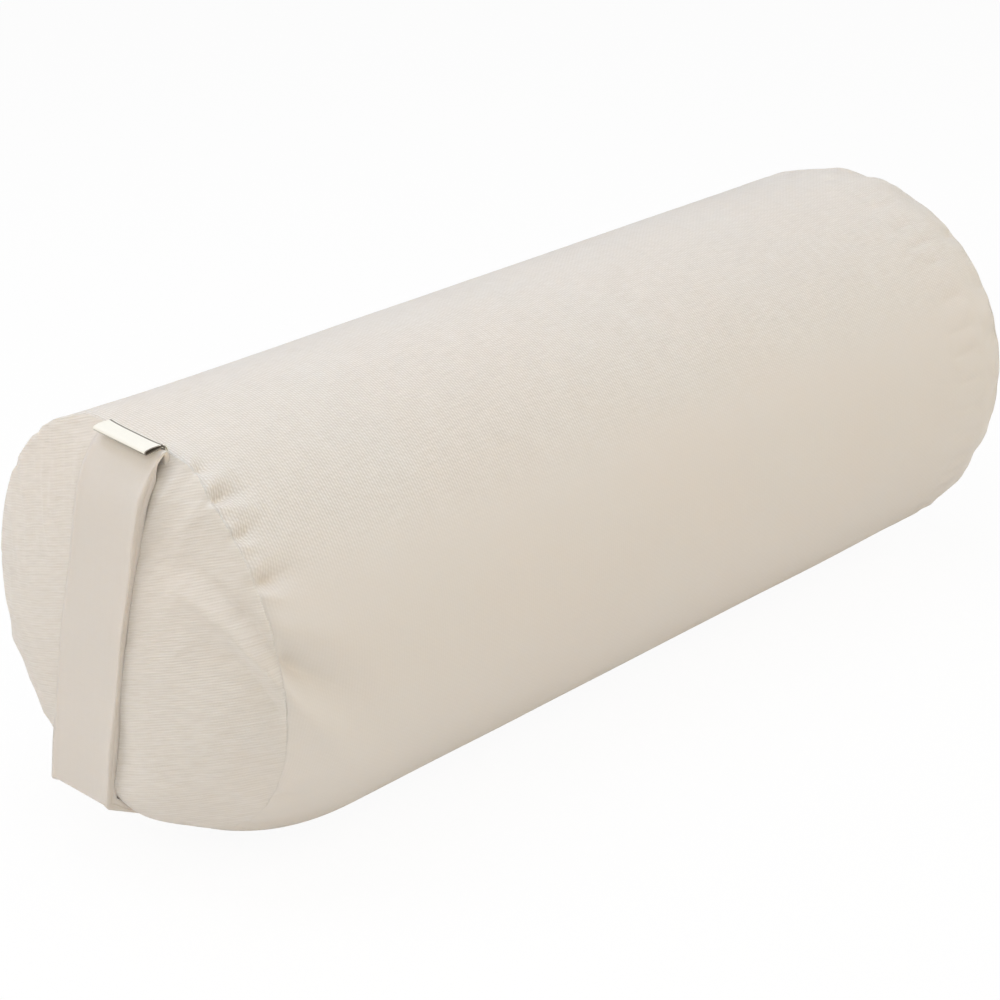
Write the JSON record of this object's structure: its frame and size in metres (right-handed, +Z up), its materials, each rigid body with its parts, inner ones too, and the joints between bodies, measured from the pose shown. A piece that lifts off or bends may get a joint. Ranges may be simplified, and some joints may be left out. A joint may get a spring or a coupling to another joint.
{
  "type": "round yoga bolster",
  "caption": "Firm round cushion in a zipped twill cover, with a flat carry strap over one end and a filled inner bag.",
  "frame": {"origin": "on the flat patch that the bolster rests on, midway between its two end seams", "axes": "+X along the bolster, away from the end with the carry strap; +Y to the side with the zip; +Z up"},
  "size_m": [0.6401, 0.23, 0.231],
  "materials": {
    "cover_twill": "undyed cotton twill, matt",
    "strap_twill": "folded and stitched cotton twill",
    "label_tape": "plain woven tape with thin dark edges",
    "zip_tape": "woven polyester tape",
    "zip_coil": "nylon coil",
    "zip_metal": "plated zip metal",
    "bag_cloth": "plain woven cotton lining",
    "filling_fibre": "loose fibre filling"
  },
  "bodies": {
    "cushion": {"cover_barrel": "cover_twill", "near_end_panel": "cover_twill", "far_end_panel": "cover_twill", "carry_strap": "strap_twill", "seam_label": "label_tape", "zip_tape_upper": "zip_tape", "zip_tape_lower": "zip_tape", "zip_coil_upper": "zip_coil", "zip_coil_lower": "zip_coil", "zip_top_stop_upper": "zip_metal", "zip_top_stop_lower": "zip_metal", "zip_bottom_stop": "zip_metal", "inner_bag_barrel": "bag_cloth", "inner_bag_near_end": "bag_cloth", "inner_bag_far_end": "bag_cloth", "filling": "filling_fibre"},
    "slider": {"zip_slider": "zip_metal"},
    "pull": {"zip_pull": "zip_metal"}
  },
  "joints": [
    {"name": "zip_travel", "type": "slide", "parent": "cushion", "child": "slider", "axis": [-1, 0, 0], "range_m": [0, 0.4308]},
    {"name": "pull_swing", "type": "hinge", "parent": "slider", "child": "pull", "pos_m": [0.2335, 0.10577, 0.16578], "axis": [0, 0.4388, -0.8986], "range_deg": [0, 180]}
  ]
}
